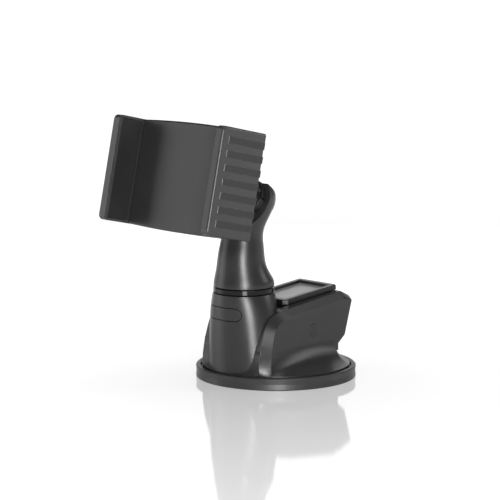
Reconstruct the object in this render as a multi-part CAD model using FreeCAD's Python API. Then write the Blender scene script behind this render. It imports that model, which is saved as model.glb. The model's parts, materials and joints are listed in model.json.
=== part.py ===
import FreeCAD
import Part
import math
import os

from FreeCAD import Placement, Rotation, Vector

# Windscreen phone mount: a suction base with a locking lever, a column with a
# swivelling neck, a ball head and a spring-closed cradle.  Millimetres, +Z up,
# origin at the centre of the base's underside, cradle towards -Y, lever towards +Y.

X_AXIS = Vector(1, 0, 0)
Y_AXIS = Vector(0, 1, 0)
Z_AXIS = Vector(0, 0, 1)

# Suction base
CUP_R = 39.5
CUP_RIM_TOP = 5.9
CUP_WEB_TOP = 4.5
RIM_INNER_R = 37.1
GEL_INNER_R = 27.4
GEL_OUTER_R = 38.4
GEL_T = 0.8
PLATE_R = 34.1
PLATE_TOP = 6.5
FOOT_R = 36.2
FOOT_TOP = 6.4
FLARE_R = 36.6
SCREW_POSTS = [(15.8, 14.0), (-15.8, 14.0), (15.8, -12.0), (-15.8, -12.0)]
POST_R = 3.2
POST_TOP = 14.5
WALL = 2.2

# Column: centre line, then (height, half width, half depth) of each section
COLUMN_Y = -22.0
COLUMN_SECTIONS = [
    (6.4, 19.7, 14.4),
    (15.0, 19.3, 14.7),
    (24.0, 18.7, 15.0),
    (32.0, 17.9, 15.1),
    (38.5, 16.8, 15.2),
    (44.2, 15.1, 15.1),
]
COLUMN_TOP = 44.2
ROOF_T = 3.8

# Lever block: side outline (y, z) at the ledge and at the side panel; both narrow to the rear
LEDGE_X = 16.4
LEDGE_X_AT_Y = 30.0
PLAN_TAPER = 0.055
SHOULDER_X = 3.4
LEDGE_FRONT = [
    (-31.0, 12.0), (-29.9, 18.5), (-28.0, 25.2), (-26.6, 28.8),
    (-24.4, 32.0), (-20.9, 34.3), (-17.7, 35.5), (-12.3, 36.35),
]
LEDGE_REST = [(28.6, 40.65), (35.0, 37.7), (29.6, 18.8), (24.0, 15.0), (24.0, 12.0)]
PANEL_FRONT = [
    (-25.6, 12.0), (-25.0, 17.4), (-23.9, 23.4), (-22.6, 27.3),
    (-21.2, 29.5), (-18.9, 31.0), (-14.5, 32.1), (-10.4, 32.7),
]
PANEL_REST = [(28.0, 36.8), (33.6, 35.9), (28.4, 19.2), (23.5, 15.4), (23.5, 12.0)]
HOLLOW_LEDGE = [
    (-26.0, 11.0), (-24.5, 24.0), (-20.0, 31.2), (-9.0, 34.0),
    (28.0, 37.8), (32.0, 35.9), (27.2, 20.2), (21.8, 16.6), (21.8, 11.0),
]
HOLLOW_PANEL = [
    (-21.5, 11.0), (-21.0, 18.0), (-18.5, 26.0), (-13.0, 29.6), (-7.0, 30.4),
    (28.5, 34.4), (31.0, 33.7), (26.3, 20.4), (21.3, 16.6), (21.3, 11.0),
]
HOLLOW_LEDGE_X = 14.6
HOLLOW_PANEL_X = 18.0

# Flare between the block's footprint and the round foot: (height, share of the circle)
BUTTON_CUT_Y = -30.0
BUTTON_GAP = 0.35
BUTTON_POST_Z = 33.3

FLARE_LEVELS = [
    (20.5, -0.02), (18.0, 0.0), (15.5, 0.035), (13.0, 0.11),
    (11.0, 0.22), (9.2, 0.40), (7.7, 0.66), (6.4, 1.0),
]
FLARE_CORNERS = [(19.7, -31.0), (22.8, -25.6), (20.3, 20.6), (16.6, 24.0)]
FLARE_LEAN = 0.165
FLARE_FEET = [-56.5, -47.5, 36.0, 52.0]

# Suction lever, in its own frame: origin on the pivot, y along the tray
PIVOT = Vector(0, 5.0, 24.5)
LEVER_SLOPE = 6.0
TRAY_X = 13.1
TRAY_FRONT = -10.0
TRAY_BACK = 26.6
TRAY_BOTTOM = 13.85
TRAY_TOP = 16.25
TRAY_RIM = 2.8
INLAY_TOP = 14.85
INLAY_BOTTOM = 14.35
SLOT_X = 13.4
SLOT_BACK = 23.2
SWING_R = 19.4
PIVOT_R = 2.0
CHEEK_IN = 7.4
CHEEK_OUT = 10.4
CRANK = (-4.84, 1.82)
CRANK_Z = 25.8
CRANK_R = 1.5
CAP_R = 3.2
CAP_X = 20.3

# Swivel
SHAFT_R = 7.0
SHAFT_BOTTOM = 35.0
SHAFT_TOP = 56.5
BUSH_R = 9.2
BUSH_BOTTOM = 37.5
RUNNING = 0.06
CLIP_Z = 36.0
CLIP_T = 1.2
RING_BOTTOM = 44.55
RING_TOP = 47.15
RING_R = 14.95

# Neck: (height, half width, half depth, centre y)
NECK_SECTIONS = [
    (47.5, 14.75, 14.75, -22.0),
    (52.5, 13.9, 13.6, -22.5),
    (57.0, 12.5, 12.0, -23.5),
    (63.5, 11.5, 11.0, -23.7),
    (69.0, 10.7, 10.2, -23.3),
    (76.0, 10.4, 10.0, -22.2),
    (80.5, 11.0, 10.7, -20.3),
    (85.0, 11.6, 11.5, -18.3),
    (89.8, 11.9, 11.9, -17.1),
]
NECK_WALL = 2.5
NECK_HOLLOW_TOP = 70.0

# Ball head
BALL = Vector(0, -17.1, 89.8)
CUP_SHELL_R = 12.0
SEAT_OUT_R = 9.1
SEAT_IN_R = 8.4
BALL_R = 8.1
SEAT_RIM = 2.4
SEAT_AIM = 33.3
SCOOP_R = 22.7
SCOOP = Vector(0, -37.2, 98.7)
TIP = Vector(0, -12.3, 95.3)
TIP_SLOPE = 41.3

# Cradle, in its own frame: origin on the plate's front, +y backwards, +z up
CRADLE_AT = Vector(0, -61.67, 103.68)
CRADLE_PITCH = 12.5
STUD_Z = -3.94
STUD_BALL_Y = 46.5
PLATE_X = 33.9
PLATE_Z = 25.3
PLATE_BOW = 0.9
PLATE_T = 2.0
COVER_BACK = 11.8
COVER_WALL = 1.7
COVER_FLOOR = 9.8
POST_X = 27.0
POST_Z = 20.4
ARM_IN = 34.3
ARM_OUT = 38.4
ARM_FRONT = -15.5
ARM_BACK = 12.2
ARM_Z = 25.45
LIP_IN = 33.85
LIP_T = 1.9
PAD_T = 1.5
RIB_COUNT = 7
RIB_PITCH = 6.5
RIB_H = 3.3
RIB_PROUD = 0.25
RIB_FRONT = -11.3
GUIDE_Z = 15.5
GUIDE_HALF = 1.5
GUIDE_END = 14.0

# Rack and pinion, one rack above and one below the pinion
TEETH = 12
MODULE = 1.0
PITCH_R = TEETH * MODULE / 2
PRESSURE = math.radians(20)
TOOTH_W = 1.47
RACK_ADD = 0.65
RACK_DED = 1.05
PINION_TIP = 6.85
PINION_ROOT = 4.7
RACK_Y = 3.0
RACK_T = 3.0
RACK_TOP = 10.5
RACK_END = -13.8
RACK_PLAIN = 5.2
AXLE_R = 1.5

# Screwed boss and lock nut behind the cradle
BOSS_R = 12.0
BOSS_BACK = 18.4
BOSS_BORE = 9.9
BOSS_FLOOR = 12.6
FLANGE_R = 9.6
NUT_R = 14.0
NUT_BACK = 21.0
NUT_BORE = 8.4
NUT_PLAY = 0.12


def box(x0, x1, y0, y1, z0, z1):
    return Part.makeBox(x1 - x0, y1 - y0, z1 - z0, Vector(x0, y0, z0))


def cylinder(radius, start, direction, length):
    return Part.makeCylinder(radius, length, start, direction)


def ring(outer, inner, start, direction, length):
    return cylinder(outer, start, direction, length).cut(cylinder(inner, start, direction, length))


def polygon_prism(points, x0, x1):
    """Extrude a (y, z) outline from x0 to x1."""
    wire = Part.makePolygon([Vector(x0, y, z) for y, z in points + points[:1]])
    return Part.Face(wire).extrude(Vector(x1 - x0, 0, 0))


def turned(points):
    """Solid of revolution about Z of an (r, z) outline."""
    wire = Part.makePolygon([Vector(r, 0, z) for r, z in points + points[:1]])
    return Part.Face(wire).revolve(Vector(0, 0, 0), Z_AXIS, 360)


def half_turn(shape):
    """The cradle's other side: half a turn about the pinion's axis."""
    out = shape.copy()
    out.rotate(Vector(0, 0, 0), Y_AXIS, 180)
    return out


def compound(shapes):
    return Part.makeCompound(shapes)


def one_solid(shape):
    """Strip the boolean's wrapper and merge faces that lie on one surface."""
    clean = shape.removeSplitter()
    return max(clean.Solids, key=lambda s: s.Volume)


def oval_wire(a, b, cy, z, count=32):
    points = []
    for i in range(count):
        t = 2 * math.pi * (i + 0.5) / count
        points.append(Vector(a * math.sin(t), cy - b * math.cos(t), z))
    curve = Part.BSplineCurve()
    curve.interpolate(Points=points, PeriodicFlag=True)
    return Part.Wire([curve.toShape()])


def oval_loft(sections, inset=0.0):
    wires = [oval_wire(a - inset, b - inset, cy, z) for z, a, b, cy in sections]
    return Part.makeLoft(wires, True, False)


def spline_edge(points):
    curve = Part.BSplineCurve()
    curve.interpolate(points)
    return curve.toShape()


# ---------------------------------------------------------------- suction base


def suction_cup():
    return turned([
        (GEL_OUTER_R + 0.1, 0.0), (39.2, 0.0), (CUP_R, 0.4), (39.3, 3.0), (CUP_R, 5.4),
        (39.0, CUP_RIM_TOP), (37.5, CUP_RIM_TOP), (RIM_INNER_R, 5.5),
        (RIM_INNER_R, CUP_WEB_TOP), (14.2, CUP_WEB_TOP), (12.6, 8.0), (5.1, 8.0),
        (5.1, 6.95), (9.1, 6.95), (9.1, 5.1), (0.0, 5.1), (0.0, 3.1), (12.0, 3.1),
        (GEL_INNER_R, GEL_T), (GEL_OUTER_R + 0.1, GEL_T),
    ])


def gel_pad():
    return ring(GEL_OUTER_R, GEL_INNER_R, Vector(0, 0, 0), Z_AXIS, GEL_T)


def base_plate():
    plate = ring(PLATE_R, 15.0, Vector(0, 0, CUP_WEB_TOP + 0.05), Z_AXIS, PLATE_TOP - CUP_WEB_TOP - 0.05)
    for x, y in SCREW_POSTS:
        plate = plate.cut(cylinder(1.6, Vector(x, y, 4), Z_AXIS, 4))
        plate = plate.cut(cylinder(2.9, Vector(x, y, 4), Z_AXIS, 1.7))
    return one_solid(plate)


def base_screws():
    screws = []
    for x, y in SCREW_POSTS:
        head = cylinder(2.7, Vector(x, y, 4.6), Z_AXIS, 1.1)
        shank = cylinder(1.4, Vector(x, y, 5.7), Z_AXIS, 6.8)
        slot = box(x - 1.6, x + 1.6, y - 0.3, y + 0.3, 4.5, 5.2)
        screws.append(one_solid(head.fuse(shank).cut(slot)))
    return compound(screws)


def column(inset=0.0, top=COLUMN_TOP):
    sections = [(z, a, b, COLUMN_Y) for z, a, b in COLUMN_SECTIONS]
    body = oval_loft(sections, inset)
    return body.common(box(-40, 40, -60, 40, 0, top)) if top < COLUMN_TOP else body


def block_outline(front, rest, side, out):
    """Closed outline on a side plane of the block: one smooth front edge and straight others."""
    def at(y, z):
        return Vector(side * (LEDGE_X + PLAN_TAPER * (LEDGE_X_AT_Y - y) + out), y, z)

    front_points = [at(y, z) for y, z in front]
    edges = [spline_edge(front_points)]
    chain = [front_points[-1]] + [at(y, z) for y, z in rest] + [front_points[0]]
    edges += [Part.makeLine(a, b) for a, b in zip(chain, chain[1:])]
    return Part.Wire(edges)


def block():
    ledges = [block_outline(LEDGE_FRONT, LEDGE_REST, side, 0.0) for side in (-1, 1)]
    panels = [block_outline(PANEL_FRONT, PANEL_REST, side, SHOULDER_X) for side in (-1, 1)]
    core = Part.makeLoft(ledges, True, True)
    return core.fuse([Part.makeLoft(list(pair), True, True) for pair in zip(ledges, panels)])


def flare_corner(index, side, share, z):
    """One corner of the flare's section: from the block's footprint to the circle."""
    x, y = FLARE_CORNERS[index]
    if y < 0:
        y += FLARE_LEAN * (z - 12.0)
    angle = math.radians(FLARE_FEET[index])
    return (
        side * (x + share * (FLARE_R * math.cos(angle) - x)),
        y + share * (FLARE_R * math.sin(angle) - y),
    )


def flare_edge(start, end, share, z, inset):
    """An edge that is straight at the block and part of the circle at the foot."""
    points = []
    for i in range(7):
        t = i / 6
        x = start[0] + t * (end[0] - start[0])
        y = start[1] + t * (end[1] - start[1])
        reach = math.hypot(x, y)
        ends = math.hypot(*start) * (1 - t) + math.hypot(*end) * t
        bulge = reach + share * (ends - reach) - inset
        points.append(Vector(x * bulge / reach, y * bulge / reach, z))
    return spline_edge(points)


def flare(inset=0.0, drop=0.0):
    wires = []
    for z, share in FLARE_LEVELS:
        right = [flare_corner(i, 1, share, z) for i in range(4)]
        left = [flare_corner(i, -1, share, z) for i in reversed(range(4))]
        corners = right + left
        pairs = zip(corners, corners[1:] + corners[:1])
        wires.append(Part.Wire([flare_edge(a, b, share, z - drop, inset) for a, b in pairs]))
    return Part.makeLoft(wires, True, False)


def in_lever_frame(shape):
    out = shape.copy()
    out.Placement = Placement(PIVOT, Rotation(X_AXIS, LEVER_SLOPE)).multiply(out.Placement)
    return out


def lever_slot():
    swing = cylinder(SWING_R, Vector(-SLOT_X, PIVOT.y, PIVOT.z), X_AXIS, 2 * SLOT_X)
    rear = in_lever_frame(box(-SLOT_X, SLOT_X, 0, SLOT_BACK, 6, 22))
    return swing.fuse(rear)


def button_outline(grow):
    """Pill-shaped prism through the front of the column."""
    half, radius, z = 10.6 + grow, 2.95 + grow, 35.2
    bar = box(-half + radius, half - radius, -45, BUTTON_CUT_Y, z - radius, z + radius)
    ends = [
        cylinder(radius, Vector(s * (half - radius), -45, z), Y_AXIS, 45 + BUTTON_CUT_Y)
        for s in (-1, 1)
    ]
    return bar.fuse(ends)


def base_housing():
    foot = cylinder(FOOT_R, Vector(0, 0, CUP_WEB_TOP + 0.1), Z_AXIS, FOOT_TOP - CUP_WEB_TOP - 0.1)
    outer = column().fuse([block(), flare(), foot])
    floor_cut = cylinder(PLATE_R + 0.2, Vector(0, 0, 4), Z_AXIS, FOOT_TOP - 4 + 0.2)
    hollow = column(WALL, COLUMN_TOP - ROOF_T).fuse([
        polygon_prism(HOLLOW_LEDGE, -HOLLOW_LEDGE_X, HOLLOW_LEDGE_X),
        polygon_prism(HOLLOW_PANEL, -HOLLOW_PANEL_X, HOLLOW_PANEL_X),
        flare(WALL, 0.2),
        floor_cut,
    ])
    posts = [cylinder(POST_R, Vector(x, y, PLATE_TOP + 0.05), Z_AXIS, POST_TOP) for x, y in SCREW_POSTS]
    shelf = box(-8, 8, -36, -27.1, 28.3, 30.1)
    upright = box(-8, 8, -28.6, -27.1, 28.3, 34.8)
    inside = posts[0].fuse(posts[1:] + [shelf, upright]).common(outer)
    shell = outer.cut(hollow).fuse(inside)
    shell = shell.cut(lever_slot())
    for x, y in SCREW_POSTS:
        shell = shell.cut(cylinder(1.42, Vector(x, y, 6), Z_AXIS, 7))
    for side in (-1, 1):
        out = Vector(side, 0, 0)
        at = Vector(0, PIVOT.y, PIVOT.z)
        shell = shell.cut(cylinder(PIVOT_R, at + out * 15, out, 8))
        shell = shell.cut(cylinder(CAP_R + 0.05, at + out * CAP_X, out, 4))
    shell = shell.cut(cylinder(BUSH_R, Vector(0, COLUMN_Y, BUSH_BOTTOM - 2), Z_AXIS, 10))
    shell = shell.cut(cylinder(BUSH_R + 2.0, Vector(0, COLUMN_Y, COLUMN_TOP - 1.0), Z_AXIS, 2))
    return shell.cut(button_outline(BUTTON_GAP)).Solids[0]


def swivel_bush():
    at = Vector(0, COLUMN_Y, BUSH_BOTTOM)
    sleeve = cylinder(BUSH_R, at, Z_AXIS, COLUMN_TOP - BUSH_BOTTOM)
    flange = cylinder(BUSH_R + 2.0, Vector(0, COLUMN_Y, COLUMN_TOP - 1.0), Z_AXIS, 1.0)
    bore = cylinder(SHAFT_R + RUNNING, at - Z_AXIS, Z_AXIS, 12)
    return one_solid(sleeve.fuse(flange).cut(bore))


def lever_pin():
    return cylinder(PIVOT_R, Vector(-CAP_X, PIVOT.y, PIVOT.z), X_AXIS, 2 * CAP_X)


def lever_pin_caps():
    caps = []
    for side in (-1, 1):
        start = Vector(side * (CAP_X + 0.05), PIVOT.y, PIVOT.z)
        cap = cylinder(CAP_R, start, Vector(side, 0, 0), 0.95)
        rim = [e for e in cap.Edges if side * e.BoundBox.Center.x > CAP_X + 0.9]
        caps.append(cap.makeFillet(0.25, rim))
    return compound(caps)


# --------------------------------------------------------------- lever and stem


def suction_lever():
    tray = box(-TRAY_X, TRAY_X, TRAY_FRONT, TRAY_BACK, TRAY_BOTTOM, TRAY_TOP)
    corners = [e for e in tray.Edges if e.BoundBox.ZLength > 2 and e.BoundBox.YMin > 0]
    tray = tray.makeFillet(1.6, corners)
    front = [e for e in tray.Edges if e.BoundBox.ZLength > 2 and e.BoundBox.YMax < 0]
    tray = tray.makeChamfer(2.0, front)
    top = [e for e in tray.Edges if e.BoundBox.ZMin > TRAY_TOP - 0.01]
    tray = tray.makeChamfer(0.45, top)
    well = box(
        -TRAY_X + TRAY_RIM, TRAY_X - TRAY_RIM,
        TRAY_FRONT + TRAY_RIM, TRAY_BACK - TRAY_RIM, INLAY_BOTTOM, TRAY_TOP + 1,
    )
    skirt = box(-12.2, 12.2, -8.6, 22.0, 9.6, TRAY_BOTTOM)
    skirt = skirt.cut(box(-CHEEK_OUT, CHEEK_OUT, -7.2, 20.6, 9.0, TRAY_BOTTOM))
    lever = tray.cut(well).fuse(skirt)
    web = [(-7.0, 14.0), (-7.2, 3.5), (-6.6, 0.0), (3.5, -3.2), (19.5, 10.5), (19.5, 14.0)]
    for side in (-1, 1):
        x0, x1 = sorted((side * CHEEK_IN, side * (CHEEK_OUT + 0.1)))
        hub = cylinder(5.0, Vector(x0, 0, 0), X_AXIS, x1 - x0)
        eye = cylinder(3.0, Vector(x0, CRANK[0], CRANK[1]), X_AXIS, x1 - x0)
        lever = lever.fuse([polygon_prism(web, x0, x1), hub, eye])
    lever = lever.cut(cylinder(PIVOT_R + RUNNING, Vector(-15, 0, 0), X_AXIS, 30))
    lever = lever.cut(cylinder(CRANK_R, Vector(-15, CRANK[0], CRANK[1]), X_AXIS, 30))
    return one_solid(in_lever_frame(lever))


def lever_inlay():
    gap = TRAY_RIM + 0.1
    panel = box(
        -TRAY_X + gap, TRAY_X - gap, TRAY_FRONT + gap, TRAY_BACK - gap, INLAY_BOTTOM, INLAY_TOP,
    )
    top = [e for e in panel.Edges if e.BoundBox.ZMin > INLAY_TOP - 0.01]
    return in_lever_frame(panel.makeChamfer(0.2, top))


def crank_pin():
    pin = cylinder(CRANK_R, Vector(-CHEEK_OUT, CRANK[0], CRANK[1]), X_AXIS, 2 * CHEEK_OUT)
    return in_lever_frame(pin)


def cup_stem():
    shank = cylinder(5.0, Vector(0, 0, 6.9), Z_AXIS, 9.1)
    hook = box(-3.5, 3.5, -4.4, 2.7, 15.0, CRANK_Z + 3.9)
    mouth = box(-5, 5, -2.0, 5.0, CRANK_Z - 1.9, CRANK_Z + 1.9)
    return one_solid(shank.fuse(hook).cut(mouth))


def cup_insert():
    return cylinder(9.0, Vector(0, 0, 5.2), Z_AXIS, 1.7)


# ------------------------------------------------------------------------ button


def release_button():
    face = column().cut(column(WALL + 0.4)).common(button_outline(0.0))
    flange = column(WALL + 0.3).cut(column(WALL + 1.4)).common(button_outline(1.3))
    post = cylinder(1.4, Vector(0, -34.6, BUTTON_POST_Z), Y_AXIS, 3.9)
    front_only = box(-20, 20, -50, BUTTON_CUT_Y, 25, 42)
    return one_solid(face.fuse([flange, post]).common(front_only))


def coil(radius, wire_r, start, length, turns, sides=10):
    """Coil spring along +Y from start, of a wire with flats."""
    pitch = (length - 2 * wire_r) / turns
    path = Part.makeHelix(pitch, pitch * turns, radius)
    corners = []
    for i in range(sides + 1):
        t = 2 * math.pi * (i % sides) / sides
        corners.append(Vector(radius + wire_r * math.cos(t), 0, wire_r * math.sin(t)))
    spring = Part.Wire(path).makePipeShell([Part.makePolygon(corners)], True, True)
    spring.rotate(Vector(0, 0, 0), X_AXIS, -90)
    spring.translate(start + Y_AXIS * wire_r)
    return spring.Solids[0]


def button_spring():
    return coil(2.2, 0.3, Vector(0, -33.1, BUTTON_POST_Z), 4.3, 4)


# -------------------------------------------------------------------------- neck


def cradle_direction():
    angle = math.radians(SEAT_AIM)
    return Vector(0, -math.cos(angle), math.sin(angle))


def neck_shell():
    body = oval_loft(NECK_SECTIONS).fuse(Part.makeSphere(CUP_SHELL_R, BALL))
    inner = oval_loft(NECK_SECTIONS, NECK_WALL)
    inner = inner.common(box(-30, 30, -60, 30, 40, NECK_HOLLOW_TOP))
    socket_tube = cylinder(SHAFT_R + 2.2, Vector(0, COLUMN_Y, 47.5), Z_AXIS, SHAFT_TOP - 46.0)
    body = body.cut(inner.cut(socket_tube))
    body = body.cut(cylinder(SHAFT_R, Vector(0, COLUMN_Y, 40), Z_AXIS, SHAFT_TOP - 40))
    body = body.cut(cylinder(SCOOP_R, SCOOP - X_AXIS * 30, X_AXIS, 60))
    tip = box(-30, 30, -40, 40, 0, 40)
    tip.Placement = Placement(TIP, Rotation(X_AXIS, -TIP_SLOPE))
    body = body.cut(tip)
    return one_solid(body.cut(Part.makeSphere(SEAT_OUT_R, BALL)))


def collar_ring():
    at = Vector(0, COLUMN_Y, RING_BOTTOM)
    band = ring(RING_R, SHAFT_R + 0.05, at, Z_AXIS, RING_TOP - RING_BOTTOM)
    rims = [e for e in band.Edges if e.BoundBox.XLength > 2 * RING_R - 0.1 and e.BoundBox.ZLength < 0.01]
    return band.makeChamfer(0.3, rims)


def swivel_shaft():
    shaft = cylinder(SHAFT_R, Vector(0, COLUMN_Y, SHAFT_BOTTOM), Z_AXIS, SHAFT_TOP - SHAFT_BOTTOM)
    groove = ring(SHAFT_R + 1, SHAFT_R - 1, Vector(0, COLUMN_Y, CLIP_Z - 0.05), Z_AXIS, CLIP_T + 0.1)
    bore = cylinder(4.0, Vector(0, COLUMN_Y, SHAFT_BOTTOM - 1), Z_AXIS, 30)
    return one_solid(shaft.cut(groove).cut(bore))


def shaft_clip():
    clip = ring(9.3, SHAFT_R - 0.95, Vector(0, COLUMN_Y, CLIP_Z), Z_AXIS, CLIP_T)
    return one_solid(clip.cut(box(-4.5, 4.5, COLUMN_Y, COLUMN_Y + 12, 30, 40)))


def ball_seat():
    """Split lining of the socket: four fingers round the ball."""
    seat = Part.makeSphere(SEAT_OUT_R - 0.03, BALL).cut(Part.makeSphere(SEAT_IN_R, BALL))
    mouth = cylinder(20, BALL + cradle_direction() * SEAT_RIM, cradle_direction(), 20)
    slots = box(-0.45, 0.45, -12, 12, -2, 6).fuse(box(-12, 12, -0.45, 0.45, -2, 6))
    slots.Placement = Placement(BALL, Rotation(Z_AXIS, cradle_direction()))
    return one_solid(seat.cut([mouth, slots]))


# ------------------------------------------------------------------------ cradle


def in_cradle_frame(shape):
    out = shape.copy()
    out.Placement = Placement(CRADLE_AT, Rotation(X_AXIS, -CRADLE_PITCH)).multiply(out.Placement)
    return out


def plate_face(y, inset=0.0):
    """The cradle's outline: straight ends and gently bowed long edges."""
    x, z, bow = PLATE_X - inset, PLATE_Z - inset, PLATE_BOW
    corners = [Vector(-x, y, -z), Vector(x, y, -z), Vector(x, y, z), Vector(-x, y, z)]
    edges = [
        Part.Arc(corners[0], Vector(0, y, -z - bow), corners[1]).toShape(),
        Part.makeLine(corners[1], corners[2]),
        Part.Arc(corners[2], Vector(0, y, z + bow), corners[3]).toShape(),
        Part.makeLine(corners[3], corners[0]),
    ]
    return Part.Face(Part.Wire(edges))


def post_places():
    return [(sx * POST_X, sz * POST_Z) for sx in (-1, 1) for sz in (-1, 1)]


def front_plate():
    plate = plate_face(0).extrude(Vector(0, PLATE_T, 0))
    rims = [e for e in plate.Edges if e.BoundBox.YMax < 0.01]
    plate = plate.makeChamfer(0.7, rims)
    for x, z in post_places():
        plate = plate.fuse(cylinder(2.5, Vector(x, PLATE_T, z), Y_AXIS, COVER_FLOOR - PLATE_T))
        plate = plate.cut(cylinder(1.1, Vector(x, 3.5, z), Y_AXIS, 8))
    plate = plate.cut(cylinder(AXLE_R, Vector(0, 1.0, 0), Y_AXIS, 2))
    return one_solid(plate)


def back_cover():
    cover = plate_face(PLATE_T).extrude(Vector(0, COVER_BACK - PLATE_T, 0))
    rims = [e for e in cover.Edges if e.BoundBox.YMin > COVER_BACK - 0.01]
    cover = cover.makeChamfer(1.2, rims)
    cover = cover.cut(plate_face(PLATE_T, COVER_WALL).extrude(Vector(0, COVER_FLOOR - PLATE_T, 0)))
    boss_at = Vector(0, COVER_FLOOR + 0.5, STUD_Z)
    cover = cover.fuse(cylinder(BOSS_R, boss_at, Y_AXIS, BOSS_BACK - boss_at.y))
    cover = cover.cut(cylinder(BOSS_BORE, Vector(0, BOSS_FLOOR, STUD_Z), Y_AXIS, 10))
    for side in (-1, 1):
        for z in (-GUIDE_Z, GUIDE_Z):
            x0, x1 = sorted((side * 31.0, side * 35.0))
            cover = cover.cut(box(x0, x1, 3.7, 7.3, z - GUIDE_HALF - 0.3, z + GUIDE_HALF + 0.3))
        window = box(31, 35, RACK_Y - 0.3, RACK_Y + RACK_T + 0.3, 5.0, RACK_TOP + 0.3)
        cover = cover.cut(window if side > 0 else half_turn(window))
    for x, z in post_places():
        cover = cover.cut(cylinder(1.15, Vector(x, 9, z), Y_AXIS, 4))
        cover = cover.cut(cylinder(2.3, Vector(x, 10.7, z), Y_AXIS, 4))
    cover = cover.cut(cylinder(AXLE_R, Vector(0, 9, 0), Y_AXIS, 2.0))
    return one_solid(cover)


def cover_screws():
    screws = []
    for x, z in post_places():
        head = cylinder(2.1, Vector(x, 10.7, z), Y_AXIS, 0.9)
        shank = cylinder(1.05, Vector(x, 4.2, z), Y_AXIS, 6.5)
        slot = box(x - 1.3, x + 1.3, 11.1, 12, z - 0.25, z + 0.25)
        screws.append(one_solid(head.fuse(shank).cut(slot)))
    return compound(screws)


def lock_nut():
    start = Vector(0, BOSS_FLOOR + 0.6, STUD_Z)
    nut = cylinder(NUT_R, start, Y_AXIS, NUT_BACK - start.y)
    rims = [e for e in nut.Edges if e.BoundBox.XLength > 2 * NUT_R - 0.1 and e.BoundBox.YLength < 0.01]
    nut = nut.makeFillet(0.7, rims)
    for i in range(18):
        t = math.radians(20 * i)
        at = start + Vector(math.cos(t), 0, math.sin(t)) * (NUT_R + 0.6)
        nut = nut.cut(cylinder(1.1, at + Y_AXIS * 1.2, Y_AXIS, NUT_BACK - start.y - 2.4))
    nut = nut.cut(cylinder(BOSS_R + NUT_PLAY, start, Y_AXIS, BOSS_BACK + 0.1 - start.y))
    return one_solid(nut.cut(cylinder(NUT_BORE, start, Y_AXIS, 20)))


def friction_ring():
    return ring(FLANGE_R, 4.0, Vector(0, BOSS_FLOOR, STUD_Z), Y_AXIS, 2.4)


def ball_stud():
    centre = Vector(0, STUD_BALL_Y, STUD_Z)
    flange = cylinder(FLANGE_R, Vector(0, BOSS_FLOOR + 2.5, STUD_Z), Y_AXIS, BOSS_BACK - BOSS_FLOOR - 2.6)
    collar = cylinder(7.9, Vector(0, BOSS_BACK - 0.2, STUD_Z), Y_AXIS, 3.2)
    stem = Part.makeCone(7.9, 4.5, 18.0, Vector(0, 21.4, STUD_Z), Y_AXIS)
    ball = Part.makeSphere(BALL_R, centre)
    return one_solid(ball.fuse([stem, collar, flange]))


def pinion_outline():
    base_r = PITCH_R * math.cos(PRESSURE)
    half = TOOTH_W / (2 * PITCH_R) + math.tan(PRESSURE) - PRESSURE
    flank = []
    for i in range(6):
        r = base_r + (PINION_TIP - base_r) * i / 5
        a = math.acos(min(1.0, base_r / r))
        flank.append((r, half - (math.tan(a) - a)))
    flank.insert(0, (PINION_ROOT, half))
    outline = []
    for tooth in range(TEETH):
        centre = 2 * math.pi * tooth / TEETH
        outline += [(r, centre - t) for r, t in flank]
        outline += [(r, centre + t) for r, t in reversed(flank)]
    return [Vector(r * math.cos(t), 0, r * math.sin(t)) for r, t in outline]


def pinion_gear():
    points = pinion_outline()
    toothed = Part.Face(Part.makePolygon(points + points[:1])).extrude(Vector(0, RACK_T + 0.3, 0))
    toothed.translate(Vector(0, RACK_Y, 0))
    hub = cylinder(3.2, Vector(0, RACK_Y + RACK_T, 0), Y_AXIS, 3.4)
    bore = cylinder(AXLE_R + RUNNING, Vector(0, 2, 0), Y_AXIS, 10)
    return one_solid(toothed.fuse(hub).cut(bore))


def pinion_axle():
    return cylinder(AXLE_R, Vector(0, 1.0, 0), Y_AXIS, 10.0)


def clamp_spring():
    """Flat spiral spring wound round the pinion's hub."""
    turns, steps, thick, inner, outer = 3.5, 84, 0.35, 3.35, 8.8
    walls = []
    for offset in (0.0, thick):
        line = []
        for i in range(steps + 1):
            t = 2 * math.pi * turns * i / steps
            r = inner + offset + (outer - inner) * i / steps
            line.append(Vector(r * math.cos(t), 6.7, r * math.sin(t)))
        walls.append(line)
    inner_edge, outer_edge = spline_edge(walls[0]), spline_edge(walls[1])
    caps = [Part.makeLine(walls[0][k], walls[1][k]) for k in (0, -1)]
    strip = Part.Face(Part.Wire([inner_edge, caps[1], outer_edge, caps[0]]))
    return strip.extrude(Vector(0, 2.5, 0))


def rack():
    """Upper rack: teeth face down towards the pinion, its end sits in the right arm."""
    tip, root = PITCH_R - RACK_ADD, PITCH_R + RACK_DED
    bar = box(RACK_END, ARM_IN + PAD_T, RACK_Y, RACK_Y + RACK_T, root, RACK_TOP)
    plain = box(RACK_PLAIN, ARM_IN + PAD_T, RACK_Y, RACK_Y + RACK_T, tip, root)
    slope = math.tan(PRESSURE)
    teeth = []
    for k in range(-5, 2):
        x = (k + 0.5) * math.pi * MODULE
        tip_half, root_half = TOOTH_W / 2 - RACK_ADD * slope, TOOTH_W / 2 + RACK_DED * slope
        outline = [(x - root_half, root), (x - tip_half, tip), (x + tip_half, tip), (x + root_half, root)]
        points = [Vector(px, RACK_Y, pz) for px, pz in outline]
        teeth.append(Part.Face(Part.makePolygon(points + points[:1])).extrude(Vector(0, RACK_T, 0)))
    return one_solid(bar.fuse([plain] + teeth).common(box(RACK_END, 40, 0, 9, 0, 20)))


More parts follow.
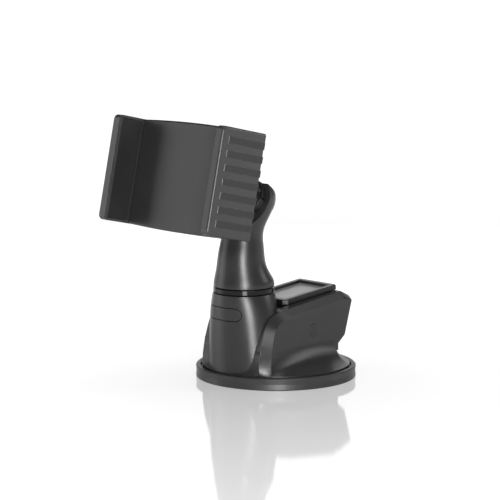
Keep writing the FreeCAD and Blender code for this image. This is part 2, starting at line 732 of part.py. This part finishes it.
def arm():
    """Right arm: lip, pad recess, ribbed outside and two guide tongues."""
    wall = box(LIP_IN, ARM_OUT, ARM_FRONT, ARM_BACK, -ARM_Z, ARM_Z)
    front_corners = [e for e in wall.Edges
                     if e.BoundBox.XLength > 1 and e.BoundBox.YMax < ARM_FRONT + 0.01]
    wall = wall.makeFillet(2.4, front_corners)
    outer_front = [e for e in wall.Edges
                   if e.BoundBox.XMin > ARM_OUT - 0.01 and e.BoundBox.YMax < ARM_BACK - 0.01]
    wall = wall.makeFillet(1.2, outer_front)
    behind = box(LIP_IN - 1, ARM_IN, ARM_FRONT + LIP_T + 10, ARM_BACK + 1, -30, 30)
    wall = wall.cut(behind)
    pad_seat = box(LIP_IN - 1, LIP_IN + PAD_T, ARM_FRONT + LIP_T, -0.4, -24.2, 24.2)
    wall = wall.cut(pad_seat)
    radius = 90.0
    rounding = box(30, 45, 4.5, 20, -21.0, 21.0)
    rounding = rounding.cut(cylinder(radius, Vector(ARM_OUT - radius, 4.5, -30), Z_AXIS, 60))
    wall = wall.cut(rounding)
    parts = []
    for i in range(RIB_COUNT):
        z = (i - (RIB_COUNT - 1) / 2) * RIB_PITCH
        rib = box(36.0, ARM_OUT + RIB_PROUD, RIB_FRONT, ARM_BACK, z - RIB_H / 2, z + RIB_H / 2)
        ends = [e for e in rib.Edges if e.BoundBox.XMin > ARM_OUT and e.BoundBox.YMax < 0]
        parts.append(rib.makeChamfer(0.2, ends))
    for z in (-GUIDE_Z, GUIDE_Z):
        parts.append(box(GUIDE_END, ARM_IN + 0.5, 4.0, 7.0, z - GUIDE_HALF, z + GUIDE_HALF))
    seat = box(ARM_IN - 1, ARM_IN + PAD_T, RACK_Y, RACK_Y + RACK_T, PITCH_R - RACK_ADD, RACK_TOP)
    return one_solid(wall.fuse(parts).cut(seat))


def pad():
    sheet = box(LIP_IN, LIP_IN + PAD_T, ARM_FRONT + LIP_T + 0.05, -0.45, -24.1, 24.1)
    face = [e for e in sheet.Edges if e.BoundBox.XMax < LIP_IN + 0.01]
    return sheet.makeFillet(0.35, face)


# ------------------------------------------------------------------------- write

right_arm, right_pad, right_rack = arm(), pad(), rack()

NODES = {
    "suction_cup": suction_cup(),
    "gel_pad": gel_pad(),
    "base_plate": base_plate(),
    "base_screws": base_screws(),
    "base_housing": base_housing(),
    "swivel_bush": swivel_bush(),
    "lever_pin": lever_pin(),
    "lever_pin_caps": lever_pin_caps(),
    "suction_lever": suction_lever(),
    "lever_inlay": lever_inlay(),
    "crank_pin": crank_pin(),
    "cup_stem": cup_stem(),
    "cup_insert": cup_insert(),
    "release_button": release_button(),
    "button_spring": button_spring(),
    "neck_shell": neck_shell(),
    "collar_ring": collar_ring(),
    "swivel_shaft": swivel_shaft(),
    "shaft_clip": shaft_clip(),
    "ball_seat": ball_seat(),
    "ball_stud": in_cradle_frame(ball_stud()),
    "back_cover": in_cradle_frame(back_cover()),
    "front_plate": in_cradle_frame(front_plate()),
    "cover_screws": in_cradle_frame(cover_screws()),
    "lock_nut": in_cradle_frame(lock_nut()),
    "friction_ring": in_cradle_frame(friction_ring()),
    "pinion_axle": in_cradle_frame(pinion_axle()),
    "pinion_gear": in_cradle_frame(pinion_gear()),
    "clamp_spring": in_cradle_frame(clamp_spring()),
    "right_arm": in_cradle_frame(right_arm),
    "right_pad": in_cradle_frame(right_pad),
    "right_rack": in_cradle_frame(right_rack),
    "left_arm": in_cradle_frame(half_turn(right_arm)),
    "left_pad": in_cradle_frame(half_turn(right_pad)),
    "left_rack": in_cradle_frame(half_turn(right_rack)),
}

os.makedirs("parts", exist_ok=True)
for name, shape in NODES.items():
    shape.exportStep("parts/" + name + ".step")
    print(name, shape.ShapeType, len(shape.Solids), round(shape.Volume, 1), shape.isValid())
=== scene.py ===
import json
import math

import bpy
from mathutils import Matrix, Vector

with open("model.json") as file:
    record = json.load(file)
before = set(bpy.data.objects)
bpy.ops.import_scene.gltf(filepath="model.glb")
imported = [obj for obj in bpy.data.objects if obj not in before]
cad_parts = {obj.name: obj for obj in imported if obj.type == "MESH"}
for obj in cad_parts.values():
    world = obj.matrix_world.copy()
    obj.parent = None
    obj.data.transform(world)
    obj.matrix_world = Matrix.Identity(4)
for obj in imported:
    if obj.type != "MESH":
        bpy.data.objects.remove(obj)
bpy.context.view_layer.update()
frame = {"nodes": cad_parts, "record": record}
NODES = frame["nodes"]

# The cradle's place and lean at rest, and the ribs on its side arms, in metres
CRADLE_AT = (0, -0.06167, 0.10368)
CRADLE_PITCH = math.radians(12.5)
RIB_PITCH = 0.0065
RIB_HALF = 0.00165
RIB_ROW_HALF = 0.0215
RIB_FRONT = -0.0113
ARM_SIDE = 0.0379

SOFT_EDGE = 0.00025
EDGE_SAMPLES = 4
NORMAL_SAMPLES = 6
WHITE = (1.0, 1.0, 1.0, 1.0)


# ------------------------------------------------------------------ node helpers


class Graph:
    """A material's node tree with short calls for the nodes used here."""

    def __init__(self, name):
        self.material = bpy.data.materials.new(name)
        self.material.use_nodes = True
        self.tree = self.material.node_tree
        self.tree.nodes.clear()
        self.out = self.add("ShaderNodeOutputMaterial")
        self.shader = self.add("ShaderNodeBsdfPrincipled")
        self.link(self.shader.outputs["BSDF"], self.out.inputs["Surface"])
        self.coords = self.add("ShaderNodeTexCoord").outputs["Object"]

    def add(self, kind, **settings):
        node = self.tree.nodes.new(kind)
        for key, value in settings.items():
            setattr(node, key, value)
        return node

    def link(self, source, target):
        self.tree.links.new(source, target)

    def noise(self, scale, detail=3.0, rough=0.55, stretch=None):
        coords = self.coords
        if stretch:
            mapping = self.add("ShaderNodeMapping")
            mapping.inputs["Scale"].default_value = stretch
            self.link(coords, mapping.inputs["Vector"])
            coords = mapping.outputs["Vector"]
        node = self.add("ShaderNodeTexNoise")
        node.inputs["Scale"].default_value = scale
        node.inputs["Detail"].default_value = detail
        node.inputs["Roughness"].default_value = rough
        self.link(coords, node.inputs["Vector"])
        return node.outputs["Fac"]

    def cells(self, scale):
        node = self.add("ShaderNodeTexVoronoi")
        node.inputs["Scale"].default_value = scale
        self.link(self.coords, node.inputs["Vector"])
        return node.outputs["Distance"]

    def remap(self, source, low, high, start=0.0, end=1.0):
        node = self.add("ShaderNodeMapRange")
        for key, value in (("From Min", start), ("From Max", end), ("To Min", low), ("To Max", high)):
            node.inputs[key].default_value = value
        self.link(source, node.inputs["Value"])
        return node.outputs["Result"]

    def math(self, operation, a, b):
        node = self.add("ShaderNodeMath", operation=operation)
        for socket, value in zip(node.inputs, (a, b)):
            if isinstance(value, (int, float)):
                socket.default_value = value
            else:
                self.link(value, socket)
        return node.outputs["Value"]

    def mix(self, factor, a, b):
        node = self.add("ShaderNodeMix", data_type="RGBA")
        for socket, value in ((node.inputs[0], factor), (node.inputs[6], a), (node.inputs[7], b)):
            if isinstance(value, (int, float)):
                socket.default_value = value
            elif isinstance(value, tuple):
                socket.default_value = value + (1.0,)
            else:
                self.link(value, socket)
        return node.outputs[2]

    def edges(self, radius):
        """1 on outside and inside edges, 0 on open faces."""
        rounded = self.add("ShaderNodeBevel", samples=EDGE_SAMPLES)
        rounded.inputs["Radius"].default_value = radius
        flat = self.add("ShaderNodeNewGeometry")
        dot = self.add("ShaderNodeVectorMath", operation="DOT_PRODUCT")
        self.link(rounded.outputs["Normal"], dot.inputs[0])
        self.link(flat.outputs["Normal"], dot.inputs[1])
        return self.remap(dot.outputs["Value"], 1.0, 0.0, 0.86, 0.998)

    def soft_normal(self, radius):
        """The surface normal with every edge rounded off."""
        node = self.add("ShaderNodeBevel", samples=NORMAL_SAMPLES)
        node.inputs["Radius"].default_value = radius
        return node.outputs["Normal"]

    def along(self, direction, origin=(0, 0, 0)):
        """Distance along a direction from an origin, in the object's own space."""
        shift = self.add("ShaderNodeVectorMath", operation="SUBTRACT")
        self.link(self.coords, shift.inputs[0])
        shift.inputs[1].default_value = origin
        dot = self.add("ShaderNodeVectorMath", operation="DOT_PRODUCT")
        self.link(shift.outputs["Vector"], dot.inputs[0])
        dot.inputs[1].default_value = direction
        return dot.outputs["Value"]

    def rib_faces(self):
        """1 on the seven ribs of a side arm, 0 elsewhere."""
        lean, rise = math.sin(CRADLE_PITCH), math.cos(CRADLE_PITCH)
        high = self.along((0, lean, rise), CRADLE_AT)
        deep = self.along((0, rise, -lean), CRADLE_AT)
        across = self.math("ABSOLUTE", self.along((1, 0, 0)), 0.0)
        tests = (
            self.math("LESS_THAN", self.math("PINGPONG", high, RIB_PITCH / 2), RIB_HALF),
            self.math("LESS_THAN", self.math("ABSOLUTE", high, 0.0), RIB_ROW_HALF),
            self.math("GREATER_THAN", deep, RIB_FRONT),
            self.math("GREATER_THAN", across, ARM_SIDE),
        )
        mask = tests[0]
        for test in tests[1:]:
            mask = self.math("MULTIPLY", mask, test)
        return mask

    def bump(self, height, distance, strength, under=None):
        node = self.add("ShaderNodeBump")
        node.inputs["Distance"].default_value = distance
        node.inputs["Strength"].default_value = strength
        self.link(height, node.inputs["Height"])
        if under:
            self.link(under, node.inputs["Normal"])
        return node.outputs["Normal"]

    def finish(self, color, roughness, normal):
        self.link(color, self.shader.inputs["Base Color"])
        self.link(roughness, self.shader.inputs["Roughness"])
        self.link(normal, self.shader.inputs["Normal"])
        return self.material


def grey(value, tint=0.0):
    return (value, value, value * (1 + tint))


def moulded_plastic(name, value, rough, grain=2600.0, edge_rub_and_highlight=0.35, painted_rib_shade=False):
    """Satin moulding: spark-eroded grain, slight cloudiness, and polished edges, which are also
    painted lighter, partly as abrasion and partly as painted highlight.
    """
    g = Graph(name)
    cloud = g.noise(38.0, 4.0)
    scuff = g.noise(160.0, 5.0, 0.7, (1.0, 1.0, 0.35))
    grain_h = g.math("ADD", g.noise(grain, 2.0, 0.6), g.math("MULTIPLY", g.cells(grain * 0.8), 0.5))
    base = g.mix(g.remap(cloud, 0.0, 1.0, 0.3, 0.7), grey(value * 0.9), grey(value * 1.1, 0.02))
    # Painted shade: the rib faces of the side arms are painted half as dark as the rest of the arm.
    if painted_rib_shade:
        base = g.mix(g.rib_faces(), base, grey(value * 0.5))
    # Edges painted lighter: partly abrasion, partly painted highlight.
    edge = g.edges(SOFT_EDGE * 2.0)
    rubbed_and_highlit = g.math("MULTIPLY", edge, g.remap(scuff, 0.0, 1.0, 0.35, 0.65))
    color = g.mix(g.math("MULTIPLY", rubbed_and_highlit, edge_rub_and_highlight), base, grey(value * 2.6))
    polish = g.math("MULTIPLY", edge, 0.07)
    roughness = g.math("SUBTRACT", g.remap(scuff, rough - 0.04, rough + 0.06), polish)
    g.shader.inputs["Specular IOR Level"].default_value = 0.5
    g.shader.inputs["IOR"].default_value = 1.5
    return g.finish(color, roughness, g.bump(grain_h, 0.00002, 0.35, g.soft_normal(SOFT_EDGE)))


def rubber(name, value, rough=0.62):
    """Soft rubber: fine matt grain with dust-dulled patches."""
    g = Graph(name)
    cloud = g.noise(60.0, 5.0, 0.6)
    grain_h = g.math("ADD", g.noise(3400.0, 3.0, 0.7), g.math("MULTIPLY", g.noise(420.0, 2.0), 0.6))
    base = g.mix(g.remap(cloud, 0.0, 1.0, 0.3, 0.7), grey(value * 0.85), grey(value * 1.2))
    # Edges painted lighter: partly abrasion, partly painted highlight.
    color = g.mix(g.math("MULTIPLY", g.edges(0.0004), 0.4), base, grey(value * 2.2))
    roughness = g.remap(cloud, rough - 0.05, rough + 0.1)
    return g.finish(color, roughness, g.bump(grain_h, 0.00004, 0.4, g.soft_normal(0.0003)))


def gloss_plastic(name, value, rough=0.08):
    """Polished moulding with hairline swirls and a faint orange-peel."""
    g = Graph(name)
    peel = g.noise(220.0, 2.0, 0.5)
    hair = g.noise(900.0, 4.0, 0.7, (0.15, 0.15, 3.0))
    base = g.mix(peel, grey(value * 0.9), grey(value * 1.15))
    # Edges painted lighter: partly abrasion, partly painted highlight.
    color = g.mix(g.math("MULTIPLY", g.edges(0.0003), 0.3), base, grey(value * 2 + 0.01))
    g.shader.inputs["Specular IOR Level"].default_value = 0.3
    return g.finish(color, g.remap(hair, rough * 0.7, rough * 1.6), g.bump(peel, 0.00003, 0.12))


def metal(name, value, rough, stretch):
    """Ground or plated steel: fine lines along the grinding, dulled in patches."""
    g = Graph(name)
    lines = g.noise(1400.0, 4.0, 0.7, stretch)
    patch = g.noise(90.0, 4.0)
    color = g.mix(patch, grey(value * 0.85), grey(value * 1.1, -0.03))
    g.shader.inputs["Metallic"].default_value = 1.0
    roughness = g.math("ADD", g.remap(lines, rough * 0.7, rough * 1.3), g.remap(patch, 0.0, 0.1))
    return g.finish(color, roughness, g.bump(lines, 0.00001, 0.3))


MATERIALS = {
    "shell": moulded_plastic("satin_charcoal", 0.022, 0.33),
    "inner": moulded_plastic("inner_moulding", 0.012, 0.42, grain=2000.0, edge_rub_and_highlight=0.1),
    "acetal": moulded_plastic("natural_acetal", 0.62, 0.34, grain=1500.0, edge_rub_and_highlight=0.05),
    "grip": rubber("grip_rubber", 0.011),
    "cup": rubber("cup_rubber", 0.030, 0.40),
    "gel": gloss_plastic("tacky_gel", 0.25, 0.22),
    "gloss_ring": gloss_plastic("gloss_black", 0.005, 0.12),
    # Painted reflection: the lever's panel is painted light grey, standing in for the white
    # surroundings it reflects.
    "inlay": moulded_plastic("lever_panel_painted_reflection", 0.28, 0.24, edge_rub_and_highlight=0.1),
    # The side arms: a lighter copy of the shell's satin charcoal, painted light, with painted shade
    # on the ribs.
    "painted_rib_shade": moulded_plastic("satin_charcoal_ribbed", 0.040, 0.33, painted_rib_shade=True),
    # Painted shade: the lever is a darker copy of the shell's charcoal, standing in for the shade on
    # its walls.
    "lever": moulded_plastic("lever_charcoal_painted_shade", 0.010, 0.30),
    "ball": moulded_plastic("stud_moulding", 0.010, 0.30, edge_rub_and_highlight=0.1),
    "steel": metal("ground_steel", 0.55, 0.28, (1.0, 1.0, 0.08)),
    "zinc": metal("plated_steel", 0.60, 0.34, (1.0, 1.0, 1.0)),
}
SLOTS = {part["node"]: part["material_slot"] for part in frame["record"]["subparts"]}
# The side arms take the lighter copy with painted rib shade, and the lever the darker copy with
# painted shade.
SLOTS.update(right_arm="painted_rib_shade", left_arm="painted_rib_shade", suction_lever="lever")
for name, node in NODES.items():
    node.data.materials.clear()
    node.data.materials.append(MATERIALS[SLOTS[name]])


# ------------------------------------------------------------------------- stage


FLOOR_HALF = 4.0
GLOW_NEAR, GLOW_FAR = 0.36, 1.0
GLOW_START, GLOW_END = 0.02, 0.7
SKY_LIGHT, SKY_SEEN = 0.06, 1.0


def add_object(name, data):
    obj = bpy.data.objects.new(name, data)
    bpy.context.scene.collection.objects.link(obj)
    return obj


def square(name, half):
    mesh = bpy.data.meshes.new(name)
    corners = [(-half, -half, 0), (half, -half, 0), (half, half, 0), (-half, half, 0)]
    mesh.from_pydata(corners, [], [(0, 1, 2, 3)])
    return add_object(name, mesh)


def pale_floor():
    """Pale and slightly polished, with painted light: the floor glows, brighter away from the object.
    """
    g = Graph("pale_floor")
    blotch = g.noise(3.0, 3.0)
    fine = g.noise(900.0, 2.0)
    span = g.add("ShaderNodeVectorMath", operation="LENGTH")
    g.link(g.coords, span.inputs[0])
    glow = g.remap(span.outputs["Value"], GLOW_NEAR, GLOW_FAR, GLOW_START, GLOW_END)
    g.link(g.mix(glow, grey(0.0), grey(1.0)), g.shader.inputs["Emission Color"])
    g.shader.inputs["Emission Strength"].default_value = 1.0
    color = g.mix(blotch, grey(0.36), grey(0.40))
    return g.finish(color, g.remap(fine, 0.05, 0.09), g.bump(fine, 0.00001, 0.05))


floor = square("floor", FLOOR_HALF)
floor.data.materials.append(pale_floor())

world = bpy.data.worlds.new("studio")
bpy.context.scene.world = world
world.use_nodes = True
sky = world.node_tree
seen = sky.nodes.new("ShaderNodeLightPath")
level = sky.nodes.new("ShaderNodeMapRange")
level.inputs["To Min"].default_value = SKY_LIGHT
level.inputs["To Max"].default_value = SKY_SEEN
sky.links.new(seen.outputs["Is Camera Ray"], level.inputs["Value"])
sky.links.new(level.outputs["Result"], sky.nodes["Background"].inputs["Strength"])
sky.nodes["Background"].inputs["Color"].default_value = WHITE


AZIMUTH = math.radians(46.0)
ELEVATION = math.radians(8.8)
DISTANCE = 1.2
LEVEL_FORWARD = Vector((-math.sin(AZIMUTH), math.cos(AZIMUTH), 0))
RIGHT = Vector((math.cos(AZIMUTH), math.sin(AZIMUTH), 0))
FORWARD = LEVEL_FORWARD * math.cos(ELEVATION) - Vector((0, 0, math.sin(ELEVATION)))
UP = RIGHT.cross(FORWARD)
TARGET = RIGHT * -0.01282 + UP * 0.06165
FOCAL_IN_FRAMES = 4.84244
SENSOR = 36.0
MIDDLE = Vector((0, -0.02, 0.06))

# Name, turn to the right of the camera and rise in degrees, distance, width, height, watts
LIGHTS = (
    ("key_left", -100, 14, 0.8, 0.40, 0.6, 1.3),
    ("front", 4, 7, 1.0, 0.26, 0.40, 8.5),
    ("strip_right", 98, 26, 0.8, 0.16, 0.5, 1.2),
    ("top", 20, 82, 0.8, 0.6, 0.6, 1.6),
    ("low_back", 180, 12, 1.1, 1.5, 0.4, 2.4),
)


def aim(obj, at, direction):
    obj.location = at
    obj.rotation_euler = direction.to_track_quat("-Z", "Y").to_euler()


for name, turn, rise, distance, width, height, power in LIGHTS:
    turn, rise = math.radians(turn), math.radians(rise)
    level_out = RIGHT * math.sin(turn) - LEVEL_FORWARD * math.cos(turn)
    out = level_out * math.cos(rise) + Vector((0, 0, math.sin(rise)))
    panel = bpy.data.lights.new(name, "AREA")
    panel.shape = "RECTANGLE"
    panel.size, panel.size_y, panel.energy = width, height, power
    aim(add_object(name, panel), MIDDLE + out * distance, -out)

camera_data = bpy.data.cameras.new("camera")
camera_data.sensor_width = SENSOR
camera_data.lens = SENSOR * FOCAL_IN_FRAMES
camera_data.clip_start = 0.01
camera = add_object("camera", camera_data)
aim(camera, TARGET - FORWARD * DISTANCE, FORWARD)
bpy.context.scene.camera = camera
bpy.context.scene.view_settings.view_transform = "Standard"
